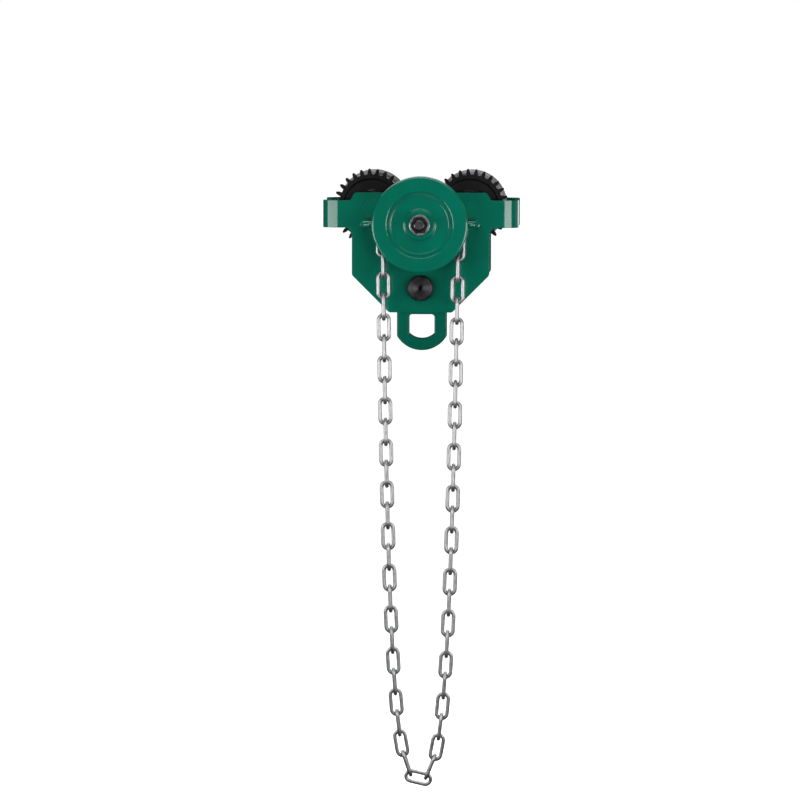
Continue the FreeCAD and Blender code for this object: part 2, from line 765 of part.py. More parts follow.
def wheel_nut():
    """Hexagon nut that holds the hand wheel."""
    depth = washer_depths()[2]
    body = hexagon(M12_ACROSS_FLATS, depth, depth + M12_NUT_HEIGHT, 0, DRIVE_Z, FRONT)
    body = turned_about(body, PINION_TURN, 0, DRIVE_Z)
    bore = turned(
        [
            (0, depth - 1),
            (M12_RADIUS + 0.05, depth - 1),
            (M12_RADIUS + 0.05, depth + M12_NUT_HEIGHT - 0.8),
            (M12_RADIUS + 0.9, depth + M12_NUT_HEIGHT + 0.05),
            (0, depth + M12_NUT_HEIGHT + 0.05),
        ],
        0, DRIVE_Z, FRONT)
    return body.cut(bore)


def hand_wheel():
    """Cast chain wheel: hub, web, rim with a chain groove, and a recessed front."""
    back = GROOVE_DEPTH - HAND_WHEEL_HALF_WIDTH
    front = GROOVE_DEPTH + HAND_WHEEL_HALF_WIDTH
    floor = front - DISH_RECESS
    web_back = floor - 7
    mouth = GROOVE_MOUTH_HALF_WIDTH
    groove = GROOVE_HALF_WIDTH
    slot = SLOT_HALF_WIDTH
    body = turned(
        [
            (HUB_SEAT_RADIUS, HUB_BACK),
            (HUB_RADIUS, HUB_BACK, 1),
            (HUB_RADIUS + 1, web_back, 3),
            (DISH_INNER_RADIUS - 5, web_back, 3),
            (DISH_INNER_RADIUS - 3, back, 1.5),
            (HAND_WHEEL_RADIUS, back, 1.5),
            (HAND_WHEEL_RADIUS, GROOVE_DEPTH - mouth, 1),
            (RIDGE_RADIUS + 4, GROOVE_DEPTH - groove, 3),
            (RIDGE_RADIUS, GROOVE_DEPTH - groove, 1),
            (RIDGE_RADIUS, GROOVE_DEPTH - slot, 0.8),
            (SLOT_FLOOR_RADIUS, GROOVE_DEPTH - slot, 1.5),
            (SLOT_FLOOR_RADIUS, GROOVE_DEPTH + slot, 1.5),
            (RIDGE_RADIUS, GROOVE_DEPTH + slot, 0.8),
            (RIDGE_RADIUS, GROOVE_DEPTH + groove, 1),
            (RIDGE_RADIUS + 4, GROOVE_DEPTH + groove, 3),
            (HAND_WHEEL_RADIUS, GROOVE_DEPTH + mouth, 1),
            (HAND_WHEEL_RADIUS, front, 2.2),
            (DISH_OUTER_RADIUS, front, 2),
            (DISH_INNER_RADIUS, floor, 2),
            (BOSS_RADIUS, floor, 1.5),
            (BOSS_RADIUS, HUB_FRONT, 1),
            (HUB_SEAT_RADIUS, HUB_FRONT),
        ],
        0, DRIVE_Z, FRONT)
    for pocket in range(POCKET_COUNT):
        cutter = extruded(
            [
                (POCKET_FLOOR, DRIVE_Z - 14, 2),
                (POCKET_FLOOR, DRIVE_Z + 14, 2),
                (POCKET_FLOOR + 6, DRIVE_Z + 14),
                (POCKET_FLOOR + 6, DRIVE_Z - 14),
            ],
            GROOVE_DEPTH - groove, GROOVE_DEPTH + groove, FRONT)
        angle = PINION_TURN + pocket * 2 * math.pi / POCKET_COUNT
        body = body.cut(turned_about(cutter, angle, 0, DRIVE_Z))
    keyway = key_box(0, HUB_SEAT_RADIUS + 2, HUB_BACK - 1, HUB_FRONT + 1)
    return body.cut(keyway).removeSplitter()


# ---------------------------------------------------------------- chain guides

def chain_guide(hand):
    """Round rod that stands on the front plate and bends into the wheel's groove."""
    bend = GUIDE_BEND
    diagonal = math.sqrt(0.5)

    def at(across, depth):
        return facing(hand * across, depth, DRIVE_Z, FRONT)

    root = at(GUIDE_ROOT_X, PLATE_OUTER_DEPTH)
    bend_start = at(GUIDE_ROOT_X, GROOVE_DEPTH - bend)
    bend_middle = at(GUIDE_ROOT_X - bend * (1 - diagonal), GROOVE_DEPTH - bend * (1 - diagonal))
    bend_end = at(GUIDE_ROOT_X - bend, GROOVE_DEPTH)
    tip = at(GUIDE_TIP_X, GROOVE_DEPTH)
    path = Part.Wire([
        Part.LineSegment(root, bend_start).toShape(),
        Part.Arc(bend_start, bend_middle, bend_end).toShape(),
        Part.LineSegment(bend_end, tip).toShape(),
    ])
    section = Part.Wire(Part.makeCircle(GUIDE_RADIUS, root, ALONG_Y))
    rod = path.makePipeShell([section], True, False)
    weld = turned(
        [
            (GUIDE_RADIUS - 0.5, PLATE_OUTER_DEPTH),
            (GUIDE_RADIUS + 2.5, PLATE_OUTER_DEPTH, 0.6),
            (GUIDE_RADIUS, PLATE_OUTER_DEPTH + 2.5, 0.6),
            (GUIDE_RADIUS - 0.5, PLATE_OUTER_DEPTH + 2.5),
        ],
        hand * GUIDE_ROOT_X, DRIVE_Z, FRONT)
    return rod.fuse(weld).removeSplitter()


# ---------------------------------------------------------------- hanger

def hanger_shaft():
    """Shaft that joins the side plates: round head in front, thread and pin hole behind."""
    head_depth = PLATE_OUTER_DEPTH + HANGER_HEAD
    radius = HANGER_SHAFT_RADIUS
    head = turned(
        [
            (0, PLATE_OUTER_DEPTH),
            (HANGER_HEAD_RADIUS, PLATE_OUTER_DEPTH),
            (HANGER_HEAD_RADIUS, head_depth, 1.6),
            (2.6, head_depth),
            (0, head_depth - 3),
        ],
        0, HANGER_Z, FRONT)
    thread_start, thread_end = hanger_nut_depths()
    shank = ring(0, radius, -PLATE_OUTER_DEPTH - 1, PLATE_OUTER_DEPTH, 0, HANGER_Z, REAR)
    profile = [(0, PLATE_OUTER_DEPTH), (radius, PLATE_OUTER_DEPTH), (radius, thread_start - 3)]
    profile += threaded_profile(radius, HANGER_THREAD_PITCH, thread_start - 3, thread_end + HANGER_END)
    profile.append((0, thread_end + HANGER_END))
    thread = turned(profile, 0, HANGER_Z, REAR)
    hole = Part.makeCylinder(2.1, 60, FreeCAD.Vector(0, split_pin_depth(), HANGER_Z - 30))
    return head.fuse(shank).fuse(thread).cut(hole).removeSplitter()


def hanger_nut_depths():
    """Depths between which the slotted nut sits behind the rear plate."""
    start = PLATE_OUTER_DEPTH + OUTER_WASHERS * WASHER_THICKNESS
    return start, start + HANGER_NUT_HEIGHT


def split_pin_depth():
    """Depth of the split pin's hole."""
    return hanger_nut_depths()[1] - HANGER_NUT_SLOT / 2


def hanger_nut():
    """Slotted hexagon nut; two slots face up and down for the split pin."""
    start, end = hanger_nut_depths()
    body = hexagon(HANGER_NUT_FLATS, start, end, 0, HANGER_Z, REAR)
    body = body.cut(ring(0, HANGER_SHAFT_RADIUS + 0.05, start - 1, end + 1, 0, HANGER_Z, REAR))
    for step in range(3):
        half = 2.4
        slot = extruded(
            [(-half, HANGER_Z - 30), (half, HANGER_Z - 30), (half, HANGER_Z + 30), (-half, HANGER_Z + 30)],
            end - HANGER_NUT_SLOT, end + 1, REAR)
        body = body.cut(turned_about(slot, step * math.pi / 3, 0, HANGER_Z))
    return body


def split_pin():
    """Split pin through the nut's slots, its two legs bent apart below."""
    depth = split_pin_depth()
    low = HANGER_Z - HANGER_NUT_FLATS / 2 - 2.5
    high = HANGER_Z + HANGER_NUT_FLATS / 2 + 2
    legs = []
    for away in (-1, 1):
        offset = away * 0.95
        straight = Part.makeCylinder(0.85, high - low, FreeCAD.Vector(0, depth + offset, low))
        tail = Part.makeCylinder(0.85, 9, FreeCAD.Vector(0, depth + offset, low),
                                 FreeCAD.Vector(0, away, -0.55))
        knee = Part.makeSphere(0.85, FreeCAD.Vector(0, depth + offset, low))
        legs.append(straight.fuse(knee).fuse(tail))
    eye = Part.makeTorus(2.3, 0.85, FreeCAD.Vector(0, depth, high + 1.9), FreeCAD.Vector(1, 0, 0))
    bridge = Part.makeBox(1.2, 1.2, high - low - 4, FreeCAD.Vector(-0.6, depth - 0.6, low + 3))
    return legs[0].fuse(legs[1]).fuse(bridge).fuse(eye).removeSplitter()


def spacer_stack_end():
    """Depth where the thin washers beside the hanger plate end."""
    return HANGER_HALF_THICKNESS + HANGER_SIDE_PLAY + INNER_WASHERS * WASHER_THICKNESS


def spacer_washer(depth, side):
    """One thin adjusting washer on the hanger shaft."""
    return bevelled_ring(HANGER_SHAFT_RADIUS + SPACER_PLAY, SPACER_RADIUS, depth,
                         depth + WASHER_THICKNESS, 0.4, 0, HANGER_Z, side)


def spacer_washers(side):
    """The adjusting washers between the hanger plate and one spacer tube."""
    first = HANGER_HALF_THICKNESS + HANGER_SIDE_PLAY
    depths = [first + index * WASHER_THICKNESS for index in range(INNER_WASHERS)]
    return Part.makeCompound([spacer_washer(depth, side) for depth in depths])


def outer_washers():
    """Spare adjusting washers between the rear plate and the nut."""
    depths = [PLATE_OUTER_DEPTH + index * WASHER_THICKNESS for index in range(OUTER_WASHERS)]
    return Part.makeCompound([spacer_washer(depth, REAR) for depth in depths])


def spacer_tube(side):
    """Tube that keeps one side plate at its distance."""
    return bevelled_ring(HANGER_SHAFT_RADIUS + SPACER_PLAY, SPACER_RADIUS - 1, spacer_stack_end(),
                         PLATE_INNER_DEPTH, 0.8, 0, HANGER_Z, side)


def arc_wire(points_and_arcs, depth):
    """Closed wire of straight runs and three-point arcs given as (x, z) tuples."""
    edges = []
    for run in points_and_arcs:
        vectors = [FreeCAD.Vector(x, -depth, z) for x, z in run]
        edge = Part.Arc(*vectors) if len(vectors) == 3 else Part.LineSegment(*vectors)
        edges.append(edge.toShape())
    return Part.Wire(edges)


def hanger_plate():
    """Thick plate that swings on the hanger shaft and holds the hoist in its eye."""
    width = HANGER_HALF_WIDTH
    outline = arc_wire(
        [
            [(-width, HANGER_Z), (0, HANGER_Z + width), (width, HANGER_Z)],
            [(width, HANGER_Z), (width, HANGER_SIDE_END)],
            [(width, HANGER_SIDE_END), (0, HANGER_BOTTOM), (-width, HANGER_SIDE_END)],
            [(-width, HANGER_SIDE_END), (-width, HANGER_Z)],
        ],
        HANGER_HALF_THICKNESS)
    thick = FreeCAD.Vector(0, 2 * HANGER_HALF_THICKNESS, 0)
    plate = Part.Face(outline).extrude(thick)
    side = EYE_HALF_WIDTH
    round_top = 3.5
    turn = round_top * (1 - math.sqrt(0.5))
    eye = arc_wire(
        [
            [(-side + round_top, EYE_TOP), (side - round_top, EYE_TOP)],
            [(side - round_top, EYE_TOP), (side - turn, EYE_TOP - turn), (side, EYE_TOP - round_top)],
            [(side, EYE_TOP - round_top), (side, EYE_SIDE_END)],
            [(side, EYE_SIDE_END), (0, EYE_BOTTOM), (-side, EYE_SIDE_END)],
            [(-side, EYE_SIDE_END), (-side, EYE_TOP - round_top)],
            [(-side, EYE_TOP - round_top), (-side + turn, EYE_TOP - turn), (-side + round_top, EYE_TOP)],
        ],
        HANGER_HALF_THICKNESS)
    plate = plate.cut(Part.Face(eye).extrude(thick))
    upright = [edge for edge in plate.Edges if is_corner_below(edge)]
    plate = plate.makeFillet(5, upright)
    rims = [edge for edge in plate.Edges if lies_in_face(edge)]
    plate = plate.makeChamfer(1.0, rims)
    bore = ring(0, HANGER_BORE_RADIUS, -20, 20, 0, HANGER_Z, REAR)
    return plate.cut(bore)


def is_corner_below(edge):
    """Whether an edge is one of the plate's two lower corners."""
    middle = edge.BoundBox.Center
    return (edge.BoundBox.YLength > 2 * HANGER_HALF_THICKNESS - 0.1
            and abs(abs(middle.x) - HANGER_HALF_WIDTH) < 0.1
            and abs(middle.z - HANGER_SIDE_END) < 0.1)


def lies_in_face(edge):
    """Whether an edge lies in the hanger plate's front or rear face."""
    return edge.BoundBox.YLength < 0.01


# ---------------------------------------------------------------- hand chain

END_RADIUS = CHAIN_WIDTH / 2 - CHAIN_WIRE_RADIUS
INNER_RADIUS = END_RADIUS - CHAIN_WIRE_RADIUS
INNER_LENGTH = CHAIN_PITCH + CHAIN_PLAY
END_SPACING = INNER_LENGTH - 2 * INNER_RADIUS
OFFSET_IN_END = INNER_RADIUS - CHAIN_WIRE_RADIUS - CHAIN_PLAY
FLAT_SPAN = END_SPACING + 2 * (END_RADIUS + OFFSET_IN_END)


def link_bar(index):
    """Distance between the two turning points of a link; even links face the front."""
    return END_SPACING if index % 2 == 0 else FLAT_SPAN


def wrap_radius():
    """Radius of the circle through the turning points of the links on the wheel."""
    low, high = SLOT_FLOOR_RADIUS, HAND_WHEEL_RADIUS
    while high - low > 1e-6:
        radius = (low + high) / 2
        turn = 2 * math.asin(END_SPACING / 2 / radius) + 2 * math.asin(FLAT_SPAN / 2 / radius)
        if turn > 2 * math.pi / POCKET_COUNT:
            low = radius
        else:
            high = radius
    return (low + high) / 2


def wheel_point(angle):
    """Turning point (x, z) on the wheel at an angle from +X towards +Z."""
    radius = wrap_radius()
    return radius * math.cos(angle), DRIVE_Z + radius * math.sin(angle)


def wrap_points():
    """Turning points of the five links on the wheel, from left to right over the top."""
    even = 2 * math.asin(END_SPACING / 2 / wrap_radius())
    odd = 2 * math.asin(FLAT_SPAN / 2 / wrap_radius())
    angle = math.pi / 2 + (3 * even + 2 * odd) / 2 - CHAIN_WHEEL_SHIFT
    points = [wheel_point(angle)]
    for turn in (even, odd, even, odd, even):
        angle -= turn
        points.append(wheel_point(angle))
    return points


def strand_points(steepness, offset):
    """Turning points of the hanging links, from the left wheel point to the right one.

    A link that carries n links below it stands at a slope of n times the steepness, and
    the offset moves the lowest point of the loop sideways by a part of a link.
    """
    x, z = wrap_points()[0]
    points = [(x, z)]
    for index in range(-LINKS_PER_STRAND, LINKS_PER_STRAND + 1):
        slope = math.atan((index + offset) * steepness)
        x += link_bar(index) * math.cos(slope)
        z += link_bar(index) * math.sin(slope)
        points.append((x, z))
    return points


def hanging_points():
    """Turning points of the loop at rest: bisection for its span and its two heights."""
    goal_x, goal_z = wrap_points()[-1]

    def level(offset):
        low, high = 0.5, 20.0
        for _ in range(50):
            steepness = (low + high) / 2
            if strand_points(steepness, offset)[-1][0] > goal_x:
                low = steepness
            else:
                high = steepness
        return strand_points(steepness, offset)

    low, high = -0.5, 0.5
    for _ in range(50):
        offset = (low + high) / 2
        points = level(offset)
        if points[-1][1] < goal_z:
            low = offset
        else:
            high = offset
    return points


def plain_link():
    """Link about the origin, its length along Z and its plane XZ."""
    half = END_SPACING / 2
    across = FreeCAD.Vector(0, 1, 0)
    pieces = []
    for end, axis in ((1, -1), (-1, 1)):
        centre = FreeCAD.Vector(0, 0, end * half)
        section = Part.Face(Part.Wire(Part.makeCircle(
            CHAIN_WIRE_RADIUS, centre + FreeCAD.Vector(END_RADIUS, 0, 0), FreeCAD.Vector(0, 0, 1))))
        pieces.append(section.revolve(centre, across * axis, 180))
    for hand in (LEFT, RIGHT):
        pieces.append(Part.makeCylinder(CHAIN_WIRE_RADIUS, END_SPACING,
                                        FreeCAD.Vector(hand * END_RADIUS, 0, -half)))
    return pieces[0].multiFuse(pieces[1:]).removeSplitter()


def placed_link(link, start, end, index):
    """Link between two turning points, odd links turned a quarter about their length."""
    start_x, start_z = start
    end_x, end_z = end
    lean = math.degrees(math.atan2(end_x - start_x, end_z - start_z))
    quarter = 90 if index % 2 else 0
    rotation = FreeCAD.Rotation(ALONG_Y, lean).multiply(
        FreeCAD.Rotation(FreeCAD.Vector(0, 0, 1), quarter))
    centre = FreeCAD.Vector((start_x + end_x) / 2, -GROOVE_DEPTH, (start_z + end_z) / 2)
    copy = link.copy()
    copy.Placement = FreeCAD.Placement(centre, rotation)
    return copy


def chain_links():
    """All links by index: 0 is the lowest, negative ones rise on the left."""
    link = plain_link()
    points = hanging_points()
    links = {}
    for place, index in enumerate(range(-LINKS_PER_STRAND, LINKS_PER_STRAND + 1)):
        links[index] = placed_link(link, points[place], points[place + 1], index)
    wrap = wrap_points()
    for place in range(len(wrap) - 1):
        index = LINKS_PER_STRAND + 1 + place
        links[index] = placed_link(link, wrap[place], wrap[place + 1], index)
    return links


def chain_part(links, from_level, to_level):
    """Links whose level, the count of links below them, is in the given range."""
    chosen = [link for index, link in sorted(links.items()) if from_level <= abs(index) <= to_level]
    return Part.makeCompound(chosen)


# ---------------------------------------------------------------- assembly

def side_name(side):
    return "front" if side == FRONT else "rear"


def hand_name(hand):
    return "left" if hand == LEFT else "right"


def wheel_parts():
    """The four track wheels with their pins and bearings, by name."""
    parts = {}
    for side in (FRONT, REAR):
        for hand in (LEFT, RIGHT):
            place = side_name(side) + "_" + hand_name(hand)
            build = geared_wheel if side == FRONT else plain_wheel
            kind = "geared_wheel_" if side == FRONT else "plain_wheel_"
            parts[kind + hand_name(hand)] = build(hand)
            parts["axle_pin_" + place] = axle_pin(hand, side)
            parts["bearing_inner_ring_" + place] = bearing_inner(hand, side)
            parts["bearing_outer_ring_" + place] = bearing_outer(hand, side)
            parts["bearing_balls_" + place] = bearing_balls(hand, side)
            parts["bearing_cage_" + place] = bearing_cage(hand, side)
            parts["bearing_shields_" + place] = bearing_shields(hand, side)
            parts["wheel_circlip_" + place] = wheel_circlip(hand, side)
    parts["axle_circlips"] = axle_circlips()
    return parts


def drive_parts():
    """The hand wheel, its shaft and what carries and fastens them, by name."""
    return {
        "shaft_housing": shaft_housing(),
        "housing_screws": housing_screws(),
        "shaft_bush_inner": bush(PINION_OUTER_DEPTH + FACE_PLAY, 1),
        "shaft_bush_outer": bush(HOUSING_OUTER_DEPTH + BUSH_FLANGE, -1),
        "pinion_shaft": pinion_shaft(),
        "shaft_key": shaft_key(),
        "hand_wheel": hand_wheel(),
        "wheel_washer": wheel_washer(),
        "spring_washer": spring_washer(),
        "wheel_nut": wheel_nut(),
        "chain_guide_left": chain_guide(LEFT),
        "chain_guide_right": chain_guide(RIGHT),
    }


def hanger_parts():
    """The hanger shaft, its spacers and the hanger plate, by name."""
    return {
        "hanger_shaft": hanger_shaft(),
        "hanger_nut": hanger_nut(),
        "split_pin": split_pin(),
        "spacer_tube_front": spacer_tube(FRONT),
        "spacer_tube_rear": spacer_tube(REAR),
        "spacer_washers_front": spacer_washers(FRONT),
        "spacer_washers_rear": spacer_washers(REAR),
        "outer_washers": outer_washers(),
        "hanger_plate": hanger_plate(),
    }


def chain_parts():
    """The hand chain in four stretches, by name."""
    links = chain_links()
    last = max(links)
    return {
        "hand_chain_on_wheel": chain_part(links, STRAND_LINKS_ON_FRAME, last),
        "hand_chain_upper": chain_part(links, STRAND_LINKS_ABOVE_MIDDLE, STRAND_LINKS_ON_FRAME - 1),
        "hand_chain_middle": chain_part(links, STRAND_LINKS_ABOVE_LOWER,
                                        STRAND_LINKS_ABOVE_MIDDLE - 1),
        "hand_chain_lower": chain_part(links, 0, STRAND_LINKS_ABOVE_LOWER - 1),
    }


def build():
    """Write every sub-part to its own file."""
    parts = {
        "side_plate_front": side_plate(FRONT),
        "side_plate_rear": side_plate(REAR),
    }
    parts.update(wheel_parts())
    parts.update(drive_parts())
    parts.update(hanger_parts())
    parts.update(chain_parts())
    for name, shape in parts.items():
        shape.exportStep("parts/" + name + ".step")
    return parts


if __name__ == "__main__":
    build()
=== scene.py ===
"""Looks of the geared beam trolley: materials, lights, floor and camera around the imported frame."""

import json
import math

import bpy
from mathutils import Matrix, Vector


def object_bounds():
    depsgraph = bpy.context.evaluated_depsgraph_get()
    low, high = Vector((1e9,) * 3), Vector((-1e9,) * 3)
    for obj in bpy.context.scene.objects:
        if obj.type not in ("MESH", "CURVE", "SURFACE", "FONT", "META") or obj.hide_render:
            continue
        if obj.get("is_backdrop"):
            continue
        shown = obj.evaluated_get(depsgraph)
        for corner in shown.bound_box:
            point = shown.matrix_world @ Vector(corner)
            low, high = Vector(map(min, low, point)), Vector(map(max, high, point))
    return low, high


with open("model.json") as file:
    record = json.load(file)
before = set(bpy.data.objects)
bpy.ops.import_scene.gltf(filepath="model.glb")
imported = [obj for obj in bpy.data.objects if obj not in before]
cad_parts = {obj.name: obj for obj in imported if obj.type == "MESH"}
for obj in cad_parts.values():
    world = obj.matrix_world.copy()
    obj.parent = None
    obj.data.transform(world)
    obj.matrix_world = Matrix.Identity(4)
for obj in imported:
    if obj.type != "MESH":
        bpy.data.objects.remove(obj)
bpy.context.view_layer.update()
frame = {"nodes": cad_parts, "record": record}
MM = 0.001
# Height of the hanger shaft's axis
HANGER_SHAFT_Z = -57.8 * MM
# Faces of the wheels nearer to the beam's middle than this are turned bare
TURNED_DEPTH = 47.6 * MM
# Inner faces of the side plates: the axle pins are painted with the plates from here outwards
PLATE_INNER_DEPTH = 60.5 * MM
# The enamel's two tones, between which it clouds
GREEN_DARK = (0.0, 0.140, 0.088)
GREEN_LIGHT = (0.0, 0.165, 0.104)


# ---------------------------------------------------------------- node helpers

class Shader:
    """A principled material with short calls for the nodes that give it detail."""

    def __init__(self, name, **constants):
        self.material = bpy.data.materials.new(name)
        self.material.use_nodes = True
        self.tree = self.material.node_tree
        self.principled = self.tree.nodes["Principled BSDF"]
        self.place = self.node("ShaderNodeTexCoord").outputs["Object"]
        for socket, value in constants.items():
            self.principled.inputs[socket.replace("_", " ")].default_value = value

    def node(self, kind, **settings):
        made = self.tree.nodes.new(kind)
        for key, value in settings.items():
            setattr(made, key, value)
        return made

    def link(self, source, target):
        self.tree.links.new(source, target)

    def noise(self, scale, detail=4.0, roughness=0.6, stretch=None):
        """Noise value in the frame's metres, optionally stretched along the axes."""
        made = self.node("ShaderNodeTexNoise")
        made.inputs["Scale"].default_value = scale
        made.inputs["Detail"].default_value = detail
        made.inputs["Roughness"].default_value = roughness
        self.link(self.stretched(stretch), made.inputs["Vector"])
        return made.outputs["Fac"]

    def cells(self, scale):
        """Distance to the nearest cell point."""
        made = self.node("ShaderNodeTexVoronoi")
        made.inputs["Scale"].default_value = scale
        self.link(self.place, made.inputs["Vector"])
        return made.outputs["Distance"]

    def stretched(self, stretch):
        """Place on the piece, multiplied along the axes."""
        if stretch is None:
            return self.place
        made = self.node("ShaderNodeVectorMath", operation="MULTIPLY")
        made.inputs[1].default_value = stretch
        self.link(self.place, made.inputs[0])
        return made.outputs["Vector"]

    def depth(self):
        """Distance from the beam's middle, across the beam."""
        parts = self.node("ShaderNodeSeparateXYZ")
        self.link(self.place, parts.inputs[0])
        made = self.node("ShaderNodeMath", operation="ABSOLUTE")
        self.link(parts.outputs["Y"], made.inputs[0])
        return made.outputs["Value"]

    def span(self, value, low, high, to_low=0.0, to_high=1.0):
        """Value remapped from one span to another, smoothly and clamped."""
        made = self.node("ShaderNodeMapRange", interpolation_type="SMOOTHSTEP")
        self.link(value, made.inputs["Value"])
        for socket, number in (("From Min", low), ("From Max", high),
                               ("To Min", to_low), ("To Max", to_high)):
            made.inputs[socket].default_value = number
        return made.outputs["Result"]

    def maths(self, operation, first, second):
        """Clamped sum, product or difference; each value is a number or a socket."""
        made = self.node("ShaderNodeMath", operation=operation, use_clamp=True)
        for socket, value in zip(made.inputs, (first, second)):
            if isinstance(value, (int, float)):
                socket.default_value = value
            else:
                self.link(value, socket)
        return made.outputs["Value"]

    def mix(self, share, first, second):
        """Colour between two colours; a colour is a tuple or a socket."""
        made = self.node("ShaderNodeMix", data_type="RGBA")
        self.link(share, made.inputs["Factor"])
        for socket, colour in ((made.inputs[6], first), (made.inputs[7], second)):
            if isinstance(colour, tuple):
                socket.default_value = (*colour, 1.0)
            else:
                self.link(colour, socket)
        return made.outputs[2]

    def edges(self, radius, samples=4):
        """1 on edges rounder than the flat faces beside them, 0 on the faces."""
        bevel = self.node("ShaderNodeBevel", samples=samples)
        bevel.inputs["Radius"].default_value = radius
        normal = self.node("ShaderNodeNewGeometry").outputs["Normal"]
        dot = self.node("ShaderNodeVectorMath", operation="DOT_PRODUCT")
        self.link(bevel.outputs["Normal"], dot.inputs[0])
        self.link(normal, dot.inputs[1])
        return self.span(dot.outputs["Value"], 0.995, 0.90)

    def hollows(self, distance, samples=6):
        """1 in corners and recesses, 0 on open faces."""
        made = self.node("ShaderNodeAmbientOcclusion", samples=samples)
        made.inputs["Distance"].default_value = distance
        return self.span(made.outputs["AO"], 0.85, 0.35)

    def relief(self, layers, soften=None):
        """Normal from (height, strength, distance) layers over softened edges."""
        normal = None
        if soften:
            bevel = self.node("ShaderNodeBevel", samples=4)
            bevel.inputs["Radius"].default_value = soften
            normal = bevel.outputs["Normal"]
        for height, strength, distance in layers:
            bump = self.node("ShaderNodeBump")
            bump.inputs["Strength"].default_value = strength
            bump.inputs["Distance"].default_value = distance
            self.link(height, bump.inputs["Height"])
            if normal:
                self.link(normal, bump.inputs["Normal"])
            normal = bump.outputs["Normal"]
        self.link(normal, self.principled.inputs["Normal"])

    def colour(self, socket):
        self.link(socket, self.principled.inputs["Base Color"])

    def roughness(self, socket):
        self.link(socket, self.principled.inputs["Roughness"])

    def metal(self, socket):
        self.link(socket, self.principled.inputs["Metallic"])


# ---------------------------------------------------------------- materials

def green_tone(s):
    """Cloudy green of the enamel."""
    return s.mix(s.span(s.noise(18, 3), 0.3, 0.7), GREEN_DARK, GREEN_LIGHT)


def green_paint():
    """Glossy green enamel: faint orange peel, painted shade in corners, thin edges lightened in
    patches, partly as wear and partly as a painted highlight.
    """
    s = Shader("green_paint", Coat_Weight=0.4, Coat_Roughness=0.05)
    fine = s.noise(420, 4)
    # Painted shade: the green turns darker in corners and recesses.
    paint = s.mix(s.maths("MULTIPLY", s.hollows(6 * MM), 0.5), green_tone(s), (0.0, 0.075, 0.05))
    # Edges lightened in patches: partly paint wear, partly a painted highlight on the edges.
    worn_and_lit_patch = s.span(s.noise(130, 6, 0.7), 0.56, 0.68)
    worn_and_lit_edges = s.maths("MULTIPLY", s.edges(0.9 * MM), worn_and_lit_patch)
    s.colour(s.mix(worn_and_lit_edges, paint, (0.01, 0.19, 0.13)))
    scuffs = s.span(s.noise(60, 5, 0.7, (1, 1, 6)), 0.62, 0.75)
    s.roughness(s.maths("ADD", s.span(fine, 0.2, 0.8, 0.10, 0.17), s.maths("MULTIPLY", scuffs, 0.10)))
    s.relief([(s.noise(260, 3, 0.5), 0.10, 0.3 * MM), (s.noise(38, 2), 0.12, 0.8 * MM)], 0.9 * MM)
    return s.material


def black_wheel_paint():
    """Black paint on cast steel, left bare where the tread and the flange's inner face are turned."""
    s = Shader("black_wheel_paint", Specular_IOR_Level=0.2)
    grain = s.noise(700, 5, 0.7)
    cloud = s.noise(40, 4)
    paint = s.mix(s.span(cloud, 0.3, 0.7), (0.0025, 0.0022, 0.0027), (0.006, 0.0055, 0.006))
    edge = s.maths("MULTIPLY", s.edges(0.6 * MM), s.span(s.noise(240, 5, 0.7), 0.48, 0.62))
    paint = s.mix(edge, paint, (0.05, 0.047, 0.045))
    turned = s.span(s.depth(), TURNED_DEPTH + 0.3 * MM, TURNED_DEPTH + 0.1 * MM)
    steel = s.mix(s.span(s.noise(90, 5, 0.65), 0.3, 0.7), (0.20, 0.205, 0.215), (0.34, 0.345, 0.36))
    s.colour(s.mix(turned, paint, steel))
    s.metal(s.maths("ADD", s.maths("MULTIPLY", edge, 0.8), s.maths("MULTIPLY", turned, 0.45)))
    s.roughness(s.span(grain, 0.2, 0.8, 0.30, 0.52))
    s.relief([(grain, 0.18, 0.25 * MM)], 0.5 * MM)
    return s.material


def zinc_wire():
    """Bright zinc on drawn wire: cloudy spangle, dull contact spots, painted shade in corners."""
    s = Shader("zinc_wire", Metallic=1.0)
    cloud = s.noise(240, 5, 0.65)
    fine = s.noise(1500, 3)
    zinc = s.mix(s.span(cloud, 0.3, 0.7), (0.37, 0.37, 0.38), (0.56, 0.56, 0.57))
    # Painted shade: the wire darkens towards near black in corners and where links meet.
    corner_shade = s.maths("MULTIPLY", s.hollows(3 * MM), 0.8)
    s.colour(s.mix(corner_shade, zinc, (0.05, 0.05, 0.048)))
    s.roughness(s.span(cloud, 0.25, 0.75, 0.38, 0.54))
    s.relief([(fine, 0.10, 0.1 * MM), (cloud, 0.15, 0.2 * MM)])
    return s.material


def plated(name, dark, light, low, high):
    """Plated or oiled steel between two greys and two roughnesses."""
    s = Shader(name, Metallic=1.0)
    tone = s.mix(s.span(s.noise(300, 5, 0.65), 0.3, 0.7), dark, light)
    shade = tuple(value * 0.3 for value in dark)
    tone = s.mix(s.maths("MULTIPLY", s.hollows(2 * MM), 0.7), tone, shade)
    rub = tuple(min(1.0, value * 1.8) for value in light)
    s.colour(s.mix(s.maths("MULTIPLY", s.edges(0.35 * MM), 0.6), tone, rub))
    s.roughness(s.span(s.noise(900, 4), 0.25, 0.75, low, high))
    s.relief([(s.noise(1800, 3), 0.08, 0.08 * MM)], 0.3 * MM)
    return s.material


def turned_steel(name, dark, light, low, high):
    """Ground or turned steel: fine rings about the Y axis."""
    s = Shader(name, Metallic=1.0)
    rings = s.noise(60, 3, 0.6, (1, 90, 1))
    cloud = s.noise(120, 4)
    tone = s.mix(s.span(cloud, 0.3, 0.7), dark, light)
    # Painted shade: the steel darkens in hollows and corners.
    s.colour(s.mix(s.maths("MULTIPLY", s.hollows(3 * MM), 0.7), tone, (0.05, 0.045, 0.04)))
    s.roughness(s.span(rings, 0.25, 0.75, low, high))
    s.relief([(rings, 0.12, 0.06 * MM)], 0.3 * MM)
    return s.material


